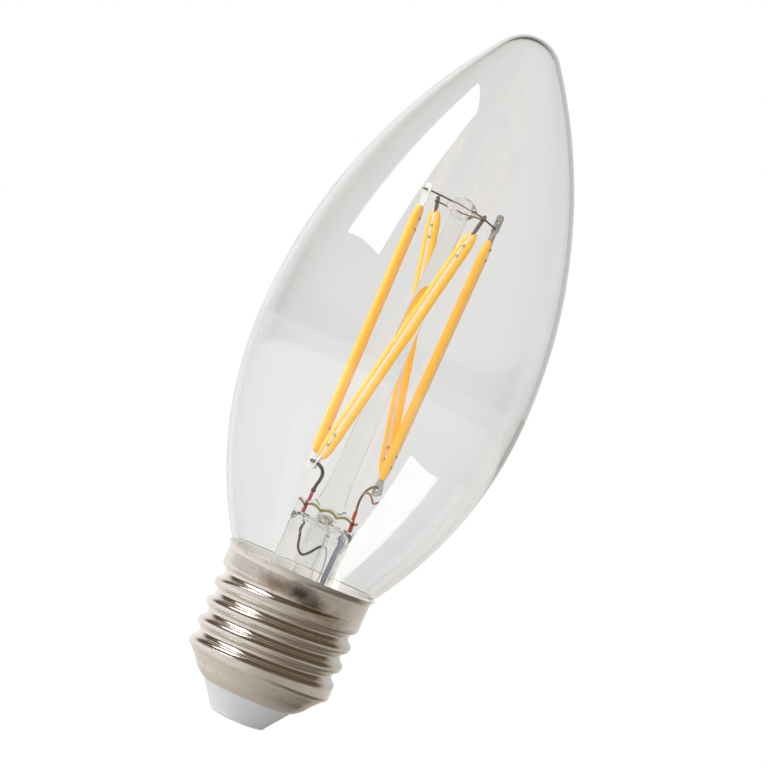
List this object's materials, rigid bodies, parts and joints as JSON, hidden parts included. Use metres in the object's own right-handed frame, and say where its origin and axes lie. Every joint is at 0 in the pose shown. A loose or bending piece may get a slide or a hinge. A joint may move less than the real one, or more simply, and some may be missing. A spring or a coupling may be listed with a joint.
{
  "type": "candle bulb",
  "caption": "Clear glass candle bulb with straight light-emitting filaments on a glass stem and a nickel screw cap.",
  "frame": {"origin": "on the bulb's axis, at the face of the centre contact", "axes": "+Z along the axis from the cap to the tip of the glass, -Y towards the picture's viewer"},
  "size_m": [0.0498, 0.0498, 0.1285],
  "materials": {
    "envelope_glass": "clear",
    "stem_glass": "clear",
    "nickel_plate": "bright nickel plate, rolled",
    "insulator_white": "moulded",
    "contact_metal": "tinned",
    "cement": "baked",
    "red_seal_wire": "red oxide on copper",
    "lead_wire": "oxidised",
    "tinned_wire": "tinned",
    "sleeve": "woven",
    "phosphor": "satin",
    "filament_strip": "ceramic",
    "tab_metal": "plated",
    "board": "coated",
    "chip_black": "moulded",
    "capacitor_can": "drawn",
    "resistor_body": "lacquered"
  },
  "bodies": {
    "root": {"glass_envelope": "envelope_glass", "glass_stem": "stem_glass", "screw_shell": "nickel_plate", "insulator": "insulator_white", "centre_contact": "contact_metal", "cement_ring": "cement", "upper_cross_wire": "lead_wire", "lower_cross_wire": "lead_wire", "left_seal_wire": "red_seal_wire", "right_seal_wire": "red_seal_wire", "left_inner_lead": "lead_wire", "right_inner_lead": "lead_wire", "left_outer_lead": "tinned_wire", "right_outer_lead": "tinned_wire", "lead_sleeve": "sleeve", "shell_wire": "tinned_wire", "driver_board": "board", "bridge_rectifier": "chip_black", "driver_chip": "chip_black", "smoothing_capacitor": "capacitor_can", "fuse_resistor": "resistor_body", "left_filament_bottom_tab": "tab_metal", "left_filament_top_tab": "tab_metal", "left_filament_strip": "filament_strip", "left_filament_coat": "phosphor", "front_filament_bottom_tab": "tab_metal", "front_filament_top_tab": "tab_metal", "front_filament_strip": "filament_strip", "front_filament_coat": "phosphor", "right_filament_bottom_tab": "tab_metal", "right_filament_top_tab": "tab_metal", "right_filament_strip": "filament_strip", "right_filament_coat": "phosphor", "rear_filament_bottom_tab": "tab_metal", "rear_filament_top_tab": "tab_metal", "rear_filament_strip": "filament_strip", "rear_filament_coat": "phosphor"}
  },
  "joints": []
}
